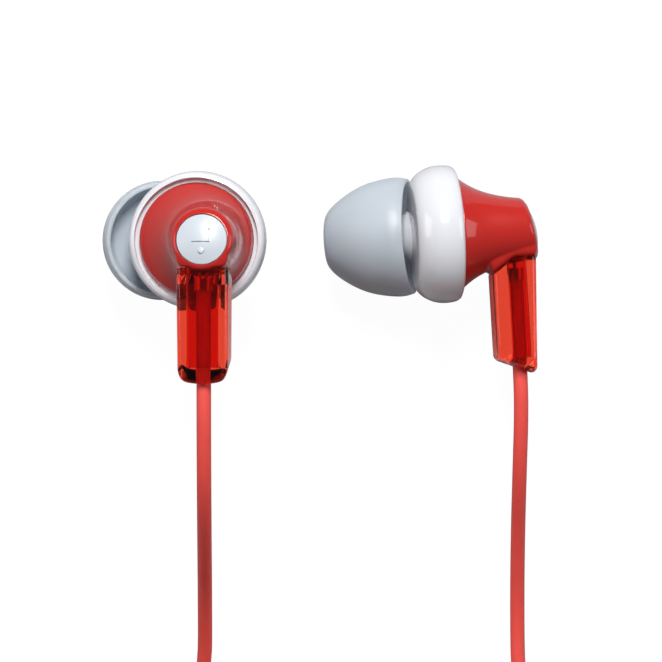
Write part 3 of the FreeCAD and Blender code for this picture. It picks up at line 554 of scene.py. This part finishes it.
def white_ring(side):
    """Ring with a rounded band, a lip round the groove, a domed front, and the nozzle."""
    outline = smooth_line([Vector(point) for point in RING_OUTLINE], 5)
    inner = [(0, SEAT_FLOOR), (SEAT_RADIUS, SEAT_FLOOR), (SEAT_RADIUS, SEAT_STEP),
             (SPIGOT_RADIUS, SEAT_STEP), (SPIGOT_RADIUS, -GROOVE_DEPTH),
             (RING_LIP_RADIUS - 0.04, -GROOVE_DEPTH), (RING_LIP_RADIUS, -GROOVE_DEPTH + 0.04),
             (RING_LIP_RADIUS, RING_OUTLINE[0][1] - 0.06), RING_OUTLINE[0]]
    front = [(0, -RING_DEPTH)]
    ring = finished("ring", spun([tuple(point) for point in outline] + front + inner, 160))
    bead = NOZZLE_RADIUS + NOZZLE_BEAD
    seat = NOZZLE_BORE + MESH_LEDGE
    ledge = NOZZLE_LENGTH - MESH_THICKNESS
    spout = turned("spout", [(NOZZLE_BORE, NOZZLE_ROOT, 0), (NOZZLE_FOOT_RADIUS, NOZZLE_ROOT, 0.1),
                             (NOZZLE_FOOT_RADIUS, -0.4, 0.3), (NOZZLE_RADIUS, 0.9, 0.6),
                             (NOZZLE_RADIUS, 4.7, 0.15), (bead, 5.0, 0.2), (bead, 5.3, 0.2),
                             (NOZZLE_RADIUS, 5.7, 0.15), (NOZZLE_RADIUS, NOZZLE_LENGTH, 0.12),
                             (seat, NOZZLE_LENGTH, 0.02), (seat, ledge, 0.02), (NOZZLE_BORE, ledge, 0),
                             (NOZZLE_BORE, NOZZLE_ROOT, 0)], 6, 96)
    spout.data.transform(nozzle_matrix())
    piece = painted(join(side + "_white_ring", ring, spout), "white_plastic")
    return settle(piece, side, "root", "front_housing")


def ear_tip(side):
    """Silicone tip: a thin skirt folded over the front on to a tube that grips the nozzle."""
    tube = TIP_BORE + TIP_TUBE_WALL
    outer = smooth_line([Vector(point) for point in (
        (TIP_RADIUS - 0.2, 0.1), (TIP_RADIUS - 0.03, 0.8), (TIP_RADIUS, TIP_WIDEST),
        (TIP_RADIUS - 0.2, 3.2), (TIP_RADIUS - 0.6, 4.7), (TIP_RADIUS - 1.25, 6.1),
        (TIP_RADIUS - 2.1, 7.4), (TIP_RADIUS - 2.85, 8.25), (TIP_FRONT_RADIUS + 0.1, 8.68),
        (TIP_FRONT_RADIUS - 0.35, TIP_LENGTH))], 6)
    hole = rounded([(TIP_FRONT_RADIUS - 0.4, TIP_LENGTH, 0), (TIP_HOLE_RADIUS, TIP_LENGTH, 0.15),
                    (TIP_HOLE_RADIUS, TIP_BORE_END, 0.1), (TIP_BORE, TIP_BORE_END, 0.1),
                    (TIP_BORE, TIP_BORE_START, 0.1), (tube, TIP_BORE_START, 0.15), (tube, 2.5, 0.3),
                    (TIP_RADIUS - 1.2, 2.2, 0.5), (TIP_RADIUS - 0.55, 1.2, 0.8),
                    (TIP_RADIUS - 0.62, 0.1, 0)], 6)
    rim = rounded([(TIP_RADIUS - 0.62, 0.1, 0), (TIP_RADIUS - 0.58, 0.0, 0.06),
                   (TIP_RADIUS - 0.25, 0.0, 0.08), (TIP_RADIUS - 0.2, 0.1, 0)], 3)
    profile = [tuple(point) for point in outer + hole[1:] + rim[1:]]
    piece = painted(finished(side + "_silicone_tip", spun(profile, 160), 60), "silicone")
    return settle(piece, side, side + "_ear_tip", "ear_tip", local=nozzle_matrix())


def flare_radius(z):
    """Radius of the red trumpet at a height above the seam."""
    return THROAT_RADIUS + (MOUTH_RADIUS - THROAT_RADIUS) * math.exp(-max(z, 0) / FLARE_LENGTH)


def flare_offset(z):
    """How far the trumpet's centre has moved sideways at a height above the seam."""
    return BARREL_OFFSET * math.sin(min(max(z, 0) / BARREL_OFFSET_REACH, 1) * math.pi / 2)


def dome_height(x, y, sunk=0.0):
    """Height of the end dome above the seam at a point of the earphone's own frame."""
    reach = (END_DOME_RADIUS - sunk) ** 2 - (x - BARREL_OFFSET) ** 2 - (y + END_DOME_DROP) ** 2
    return END_DOME_BASE + math.sqrt(reach)


def saddle_depth(z):
    """How far the red housing reaches down above the stem at a height above the seam."""
    share = min(max((z - STEM_FRONT) / (SADDLE_STEP_Z - STEM_FRONT), 0), 1)
    return SADDLE_FRONT + (SADDLE_BACK - SADDLE_FRONT) * share


def blend_in(value, start, end):
    """0 before start, 1 after end, and smooth between."""
    t = min(max((value - start) / (end - start), 0), 1)
    return t * t * (3 - 2 * t)


def barrel_reach(angle, z, radius):
    """Distance from the barrel's centre line to its wall: a circle, and the saddle where that is wider."""
    down = -math.sin(angle)
    if down <= 0:
        return radius
    across = abs(math.cos(angle))
    half, low = STEM_WIDTH / 2, saddle_depth(z)
    power = SADDLE_SQUARENESS
    saddle = ((across / half) ** power + (down / low) ** power) ** (-1 / power)
    grown = max(saddle - radius, 0) * blend_in(z, STEM_FRONT - 0.5, STEM_FRONT + 0.15)
    return radius + grown


def red_housing(side):
    """Glossy trumpet, its saddle over the stem, and the rim round the cap's recess."""

    def round_loop(radius, z):
        return lambda angle: Vector((radius * math.cos(angle), radius * math.sin(angle), z))

    def wall(z):
        edge = MOUTH_EDGE * (1 - blend_in(z, -0.02, 0.16))

        def place(angle):
            reach = barrel_reach(angle, z, flare_radius(z) - edge)
            return Vector((flare_offset(z) + reach * math.cos(angle), reach * math.sin(angle), z))
        return place

    def upper(share, inset, sink):
        """Wall above the last fixed height, stretched to the dome's edge, then over the rim."""
        def place(angle):
            base = HOUSING_HEIGHTS[-1]
            z = base
            for _ in range(3):
                reach = barrel_reach(angle, z, flare_radius(z)) - inset
                x = flare_offset(z) + reach * math.cos(angle)
                y = reach * math.sin(angle)
                z = base + (dome_height(x, y) - HOUSING_EDGE - base) * share
            return Vector((x, y, z + sink))
        return place

    def on_dome(reach, sunk):
        """Circle about the cap's axis, let into the dome by sunk."""
        matrix = cap_matrix()
        height = math.sqrt(END_DOME_RADIUS ** 2 - reach ** 2) - END_DOME_RADIUS
        place = round_loop(reach, height - sunk)
        return lambda angle: matrix @ place(angle)

    places = [round_loop(SEAT_RADIUS + 0.05, HOUSING_START), round_loop(MOUTH_RADIUS, HOUSING_START),
              round_loop(MOUTH_RADIUS, -0.2)]
    places += [wall(z) for z in HOUSING_HEIGHTS]
    places += [upper(share, 0, 0) for share in (0.2, 0.4, 0.6, 0.8, 0.92, 1.0)]
    for step in range(1, 6):
        turn = math.pi / 2 * step / 6
        places.append(upper(1.0, HOUSING_EDGE * (1 - math.cos(turn)), HOUSING_EDGE * math.sin(turn)))
    places += [on_dome(CAP_RADIUS + gap, sunk) for gap, sunk in (
        (0.22, 0.0), (0.12, 0.0), (0.06, 0.03), (0.05, 0.12), (0.05, CAP_THICKNESS + CAP_RECESS))]
    bm, last = lofted(places, HOUSING_LOOP)
    bmesh.ops.contextual_create(bm, geom=loop_edges(bm, last))
    low = [edge for edge in bm.edges if edge.is_boundary]
    inner = bmesh.ops.extrude_edge_only(bm, edges=low)["geom"]
    inner_verts = [item for item in inner if isinstance(item, bmesh.types.BMVert)]
    bmesh.ops.translate(bm, verts=inner_verts, vec=(0, 0, -HOUSING_START))
    bmesh.ops.contextual_create(bm, geom=[item for item in inner if isinstance(item, bmesh.types.BMEdge)])
    piece = painted(finished(side + "_red_housing", bm, 50), "red_plastic")
    return settle(piece, side, "root", "rear_housing")


def stroke(x0, y0, x1, y1):
    """Upright box cutter of one straight stroke of a letter."""
    bm = bmesh.new()
    bmesh.ops.create_cube(bm, size=1)
    length = math.hypot(x1 - x0, y1 - y0) + MARK_WIDTH
    bmesh.ops.scale(bm, verts=bm.verts, vec=(length, MARK_WIDTH, MARK_CUTTER_HEIGHT))
    turn = Matrix.Rotation(math.atan2(y1 - y0, x1 - x0), 4, "Z")
    middle = Matrix.Translation(((x0 + x1) / 2, (y0 + y1) / 2, 0))
    bmesh.ops.transform(bm, verts=bm.verts, matrix=middle @ turn)
    return finished("stroke", bm)


def bowl(x, y, radius, steps=12):
    """Half-ring cutter, open towards -Y, of the letter's bowl."""
    bm = bmesh.new()
    inner, outer = radius - MARK_WIDTH / 2, radius + MARK_WIDTH / 2
    low, high = -MARK_CUTTER_HEIGHT / 2, MARK_CUTTER_HEIGHT / 2
    corners = ((inner, 0, low), (outer, 0, low), (outer, 0, high), (inner, 0, high))
    face = bm.faces.new([bm.verts.new(corner) for corner in corners])
    bmesh.ops.spin(bm, geom=[face], cent=(0, 0, 0), axis=(0, 0, 1), angle=math.pi, steps=steps)
    bmesh.ops.translate(bm, verts=bm.verts, vec=(x, y, 0))
    return finished("bowl", bm)


def mark_floor():
    """Ball that keeps a mark's cutters from going deeper than the mark."""
    bm = bmesh.new()
    bmesh.ops.create_icosphere(bm, subdivisions=6, radius=END_DOME_RADIUS - CAP_RECESS - MARK_DEPTH)
    bmesh.ops.translate(bm, verts=bm.verts, vec=(0, 0, -END_DOME_RADIUS))
    return finished("mark_floor", bm)


def cap(side):
    """Pale domed cap with a sunk side letter and, on the left one, a raised dot."""
    dome = END_DOME_RADIUS - CAP_RECESS
    flat = CAP_RADIUS - 0.2
    heights = []
    for step in range(13):
        radius = flat * (1 - step / 12)
        heights.append((radius, math.sqrt(dome ** 2 - radius ** 2) - END_DOME_RADIUS))
    top = heights[0][1]
    bottom = -CAP_THICKNESS - CAP_RECESS + 0.03
    side_edge = rounded([(0, bottom, 0), (CAP_RADIUS, bottom, 0), (CAP_RADIUS, top - 0.06, 0.2),
                         (flat, top, 0)], 6)
    body = finished("cap_body", spun([tuple(point) for point in side_edge] + heights[1:], 96))
    if side == "left":
        cutters = [stroke(-0.9, -0.36, 0.8, -0.36), stroke(0.8, -0.18, 0.8, 0.95)]
    else:
        cutters = [stroke(-0.9, -0.36, 0.8, -0.36), stroke(0.8, -0.18, 0.8, -0.05),
                   stroke(0.04, -0.18, 0.04, -0.05), bowl(0.42, 0.04, 0.38),
                   stroke(-0.05, 0.12, -0.88, 0.42)]
    for cutter in cutters:
        body = cut_by(body, cut_by(cutter, mark_floor()))
    if side == "left":
        dot = turned("dot", [(0.33, -0.25, 0), (0.33, 0.08, 0.1), (0.0, 0.12, 0)], 6, 32)
        dot.data.transform(Matrix.Translation((0, -1.2, -CAP_RECESS - 0.1)))
        body = join("cap_body", body, dot)
    body.name = side + "_pale_cap"
    piece = painted(body, "cap_plastic")
    bm = bmesh.new()
    bm.from_mesh(piece.data)
    limit = math.radians(30)
    for face in bm.faces:
        face.smooth = True
    for edge in bm.edges:
        edge.smooth = len(edge.link_faces) == 2 and edge.calc_face_angle() < limit
    bm.to_mesh(piece.data)
    bm.free()
    return settle(piece, side, "root", "cap", local=cap_matrix())


def stem_half_width(depth):
    """Half the stem's width at a depth below the housing's middle."""
    return (STEM_WIDTH + (STEM_FOOT_WIDTH - STEM_WIDTH) * min(depth / STEM_FOOT_FRONT, 1)) / 2


def stem_back(depth):
    """Height above the seam of the stem's cap-side face at a depth."""
    share = (depth - SADDLE_BACK) / (STEM_FOOT_BACK - SADDLE_BACK)
    return STEM_BACK_TOP + (STEM_BACK_FOOT - STEM_BACK_TOP) * share


def stem_foot(x, z):
    """Depth of the stem's slanting foot, rounded off towards its two sides."""
    drop = STEM_FOOT_BACK - STEM_FOOT_FRONT
    slant = STEM_FOOT_FRONT + drop * (z - STEM_FRONT) / (STEM_BACK_FOOT - STEM_FRONT)
    across = abs(x) / (STEM_FOOT_WIDTH / 2)
    return slant - 0.35 * across ** 2 - 0.75 * across ** 8


def stem(side):
    """Clear hollow stem: rounded-rectangle loops from the saddle down to the slanting foot."""
    centre_z = (STEM_FRONT + STEM_BACK_TOP) / 2

    def section(angle, half_x, low_z, high_z, power=STEM_SQUARENESS):
        c, s = math.cos(angle), math.sin(angle)
        middle, half_z = (low_z + high_z) / 2, (high_z - low_z) / 2
        reach = (abs(c / half_x) ** power + abs(s / half_z) ** power) ** (-1 / power)
        return reach * c, middle + reach * s

    def outside(along, inset, scale):
        def place(angle):
            x, z = section(angle, stem_half_width(8) - inset, STEM_FRONT + inset, STEM_BACK_TOP - inset)
            x, z = x * scale, centre_z + (z - centre_z) * scale
            top = saddle_depth(z) + STEM_GAP
            foot = stem_foot(x, min(z, STEM_BACK_FOOT))
            depth = top + (foot - top) * along
            x *= stem_half_width(depth) / stem_half_width(8)
            narrowing = (stem_back(depth) - STEM_FRONT) / (STEM_BACK_TOP - STEM_FRONT)
            return Vector((BARREL_OFFSET + x, -depth, STEM_FRONT + (z - STEM_FRONT) * narrowing))
        return place

    def cavity(share):
        def place(angle):
            x, z = section(angle, STEM_CAVITY[0] / 2 - 0.02, CORD_LINE - STEM_CAVITY[1] / 2,
                           CORD_LINE + STEM_CAVITY[1] / 2, STEM_CAVITY_SQUARENESS)
            top = saddle_depth(z) + STEM_GAP
            depth = top + (STEM_CAVITY_FLOOR - top) * share
            return Vector((BARREL_OFFSET + x, -depth, z))
        return place

    places = [outside(step / 10, 0.0, 1.0) for step in range(10)]
    length = STEM_FOOT_FRONT - SADDLE_BACK
    for step in range(7):
        turn = math.pi / 2 * step / 6
        along = 1 - STEM_FOOT_ROUND / length * (1 - math.sin(turn))
        places.append(outside(along, STEM_FOOT_ROUND * (1 - math.cos(turn)), 1.0))
    places += [outside(1.0, STEM_FOOT_ROUND, scale) for scale in (0.9, 0.7, 0.45, 0.2, 0.0)]
    bm = lofted(places, STEM_LOOP)[0]
    bmesh.ops.remove_doubles(bm, verts=bm.verts, dist=1e-6)
    inside, last = lofted([cavity(step / 8) for step in range(9)], STEM_LOOP)
    bmesh.ops.contextual_create(inside, geom=loop_edges(inside, last))
    carrier = bpy.data.meshes.new("carrier")
    inside.to_mesh(carrier)
    inside.free()
    bm.from_mesh(carrier)
    bpy.data.meshes.remove(carrier)
    bmesh.ops.bridge_loops(bm, edges=[edge for edge in bm.edges if edge.is_boundary])
    piece = painted(finished(side + "_clear_stem", bm, 35), "clear_red")
    return settle(piece, side, "root", "stem")


# ---------------------------------------------------------------- splitter and plug

def along_y(obj, start):
    """Turn a piece made about Z so that it runs along +Y from a start point, and place it in metres."""
    turn = Matrix.Rotation(-math.pi / 2, 4, "X")
    obj.data.transform(Matrix.Scale(MM, 4) @ Matrix.Translation(start) @ turn)
    return obj


def splitter():
    """Oval moulding, ribbed towards the main cord."""
    start, end = LEFT_TAIL[-1][1], MAIN_LEAD[0][1]
    length = start - end
    profile = [(0, 0, 0), (1.3, 0, 0.15), (1.3, 0.6, 0.1)]
    for rib in range(4):
        foot = 0.6 + rib * 0.9
        radius = 1.35 + rib * 0.13
        profile += [(radius, foot + 0.05, 0.08), (radius + 0.08, foot + 0.55, 0.08),
                    (radius - 0.12, foot + 0.62, 0.05), (radius - 0.1, foot + 0.85, 0.05)]
    profile += [(1.9, 5.2, 0.4), (1.9, length - 0.5, 0.5), (1.5, length, 0.3), (0, length, 0)]
    body = turned("splitter_body", profile, 4, 64)
    for vert in body.data.vertices:
        widen = blend_in(vert.co.z, 3.5, 8.0)
        vert.co.x *= 1 + 0.37 * widen
    middle = (LEFT_TAIL[-1][0] + RIGHT_TAIL[-1][0]) / 2
    body = along_y(body, (middle, end, MAIN_LEAD[0][2]))
    body.name = "cord_splitter"
    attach(painted(body, "moulded_red"), "root")
    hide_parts("splitter")
    return body


def plug():
    """Ribbed strain relief, moulded handle with grip rings, and the turned point."""
    start = MAIN_TAIL[-1]
    relief_profile = [(0, 0, 0), (1.1, 0, 0.1)]
    for rib in range(6):
        foot = rib * 1.1 + 0.2
        radius = 1.16 + rib * 0.14
        relief_profile += [(radius, foot, 0.08), (radius + 0.04, foot + 0.7, 0.08),
                           (radius - 0.22, foot + 0.75, 0.05), (radius - 0.2, foot + 1.05, 0.05)]
    relief_profile += [(2.0, 6.8, 0.1), (2.0, 7.0, 0.05), (0, 7.0, 0)]
    handle_profile = [(0, 7.0, 0), (2.2, 7.0, 0.1), (2.6, 8.5, 0.6), (3.0, 11.5, 1.5)]
    for groove in range(4):
        foot = 13.0 + groove * 1.1
        handle_profile += [(3.0, foot, 0.08), (2.8, foot + 0.12, 0.05), (2.8, foot + 0.38, 0.05),
                           (3.0, foot + 0.5, 0.08)]
    handle_profile += [(3.0, 20.8, 0.5), (2.5, 22.0, 0.25), (1.8, 22.0, 0.02), (1.8, 21.9, 0.02),
                       (0, 21.9, 0)]
    contact_profile = [(0, 33.0, 0), (1.72, 33.0, 0.02), (1.75, 33.05, 0.02), (1.22, 33.95, 0.15),
                       (1.64, 34.5, 0.2), (1.3, 35.3, 0.3), (0.5, 35.95, 0.3), (0, 36.0, 0)]
    pieces = []
    for name, profile, slot, node in (("plug_relief", relief_profile, "moulded_red", "plug_strain_relief"),
                                      ("plug_grip", handle_profile, "moulded_red", "plug_handle"),
                                      ("plug_point", contact_profile, "nickel", "plug_tip")):
        piece = turned(name, profile, 4, 64)
        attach(painted(along_y(piece, start), slot), "root")
        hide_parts(node)
        pieces.append(piece)
    return pieces


# ---------------------------------------------------------------- frame's own pieces, stage and light

def paint_frame():
    """Materials for the frame's nodes that stay as they are."""
    for part in frame["record"]["subparts"]:
        obj = frame["nodes"][part["node"]]
        if not obj.hide_render:
            painted(obj, part["material_slot"])


def add_stage():
    """Pale floor that the camera and clear plastic see as white, with the object's shadow on it."""
    bm = bmesh.new()
    bmesh.ops.create_grid(bm, x_segments=1, y_segments=1, size=3)
    floor = finished("floor", bm)
    material = bpy.data.materials.new("floor")
    material.use_nodes = True
    nodes, links = material.node_tree.nodes, material.node_tree.links
    shader = nodes["Principled BSDF"]
    shader.inputs["Base Color"].default_value = (0.4, 0.4, 0.41, 1)
    shader.inputs["Roughness"].default_value = 0.8
    glow = nodes.new("ShaderNodeEmission")
    glow.inputs["Strength"].default_value = FLOOR_GLOW
    path = nodes.new("ShaderNodeLightPath")
    mix = nodes.new("ShaderNodeMixShader")
    share = nodes.new("ShaderNodeMath")
    share.operation = "MULTIPLY"
    share.inputs[1].default_value = FLOOR_WHITE_SHARE
    bright = nodes.new("ShaderNodeMath")
    bright.operation = "MAXIMUM"
    links.new(path.outputs["Is Camera Ray"], bright.inputs[0])
    links.new(path.outputs["Is Transmission Ray"], bright.inputs[1])
    links.new(bright.outputs[0], share.inputs[0])
    links.new(share.outputs[0], mix.inputs[0])
    links.new(shader.outputs[0], mix.inputs[1])
    links.new(glow.outputs[0], mix.inputs[2])
    links.new(mix.outputs[0], nodes["Material Output"].inputs["Surface"])
    floor.data.materials.append(material)


def add_lamp(name, place, size, energy):
    data = bpy.data.lights.new(name, "AREA")
    data.shape = "RECTANGLE"
    data.size, data.size_y = size
    data.energy = energy
    lamp = bpy.data.objects.new(name, data)
    lamp.location = place
    lamp.rotation_euler = (Vector(place) - Vector(LAMP_TARGET)).to_track_quat("Z", "Y").to_euler()
    scene.collection.objects.link(lamp)


def add_light():
    world = bpy.data.worlds.new("studio")
    scene.world = world
    world.use_nodes = True
    background = world.node_tree.nodes["Background"]
    background.inputs["Color"].default_value = (1, 1, 1, 1)
    background.inputs["Strength"].default_value = WORLD_STRENGTH
    for lamp in LAMPS:
        add_lamp(*lamp)


def view_settings():
    scene.view_settings.view_transform = "Standard"


add_camera()
left_branch, right_branch, main_lead = add_cords()
joint = splitter()
plug_pieces = plug()
declare_cords(left_branch, right_branch)
for hand in ("left", "right"):
    white_ring(hand)
    ear_tip(hand)
    red_housing(hand)
    cap(hand)
    stem(hand)
paint_frame()
add_stage()
add_light()
view_settings()

bpy.context.view_layer.update()
